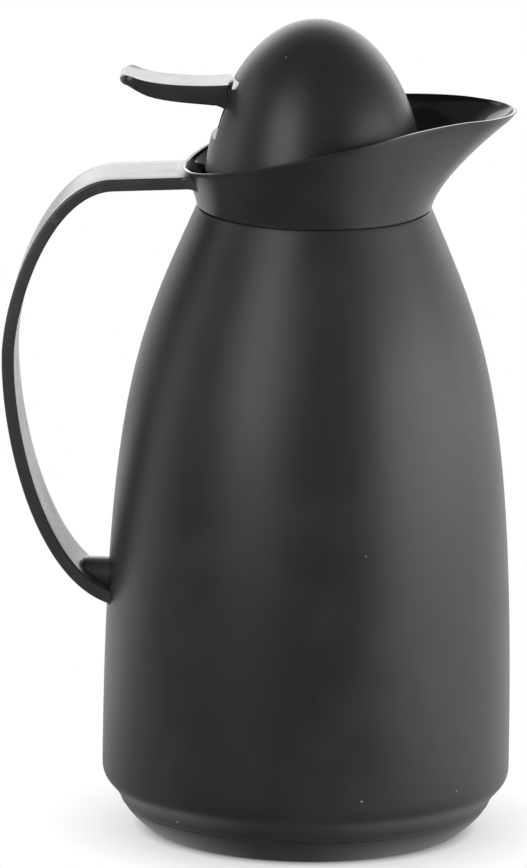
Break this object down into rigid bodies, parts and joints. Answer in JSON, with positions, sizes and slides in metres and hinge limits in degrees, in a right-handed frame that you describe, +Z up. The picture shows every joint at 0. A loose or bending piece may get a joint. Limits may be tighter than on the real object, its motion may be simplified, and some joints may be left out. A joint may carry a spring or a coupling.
{
  "type": "thermal carafe",
  "caption": "Tapered black insulated jug with a flared pouring collar, a strap handle and a domed screw stopper whose thumb lever opens a pouring valve.",
  "frame": {"origin": "on the body's axis in the plane of the foot ring", "axes": "+Z up along the body, -X towards the handle and the thumb lever, +X towards the spout"},
  "size_m": [0.1755, 0.14, 0.2823],
  "materials": {
    "matte_black": "fine satin grain, moulded",
    "satin_black": "satin, smoother than the body",
    "inner_black": "plain moulded",
    "silvered_glass": "silvered glass",
    "grey_foam": "soft foam rubber",
    "clear_rubber": "silicone rubber",
    "bright_steel": "drawn stainless steel"
  },
  "bodies": {
    "jug": {"outer_shell": "matte_black", "base_cap": "matte_black", "liner_cushion": "grey_foam", "inner_flask": "silvered_glass", "outer_flask": "silvered_glass", "flask_spacers": "grey_foam", "neck_gasket": "clear_rubber", "neck_ring": "inner_black", "pouring_collar": "satin_black", "handle": "satin_black", "handle_screw": "bright_steel"},
    "stopper_lift": {"stopper_gasket": "clear_rubber"},
    "stopper": {"stopper_plug": "inner_black", "lever_deck": "inner_black", "deck_screws": "bright_steel", "rod_bush": "clear_rubber", "stopper_dome": "matte_black", "lever_pin": "bright_steel", "return_spring": "bright_steel"},
    "lever": {"thumb_lever": "satin_black"},
    "valve": {"valve_rod": "bright_steel", "valve_seal": "clear_rubber", "valve_disc": "inner_black", "valve_nut": "bright_steel"}
  },
  "joints": [
    {"name": "stopper_rise", "type": "slide", "parent": "jug", "child": "stopper_lift", "axis": [0, 0, 1], "range_m": [0, 0.0105]},
    {"name": "stopper_turn", "type": "hinge", "parent": "stopper_lift", "child": "stopper", "pos_m": [0, 0, 0.2], "axis": [0, 0, 1], "range_deg": [0, 315]},
    {"name": "lever_press", "type": "hinge", "parent": "stopper", "child": "lever", "pos_m": [0.018, 0, 0.2546], "axis": [0, -1, 0], "range_deg": [0, 11.5], "stiffness_Nm_per_rad": 0.25, "springref_deg": -17.19},
    {"name": "valve_slide", "type": "slide", "parent": "stopper", "child": "valve", "axis": [0, 0, -1], "range_m": [0, 0.00362], "deforming": ["return_spring"]}
  ],
  "couplings": [
    {"joint": "stopper_rise", "follows": "stopper_turn", "m_per_rad": 0.0019099},
    {"joint": "valve_slide", "follows": "lever_press", "m_per_rad": 0.018}
  ]
}
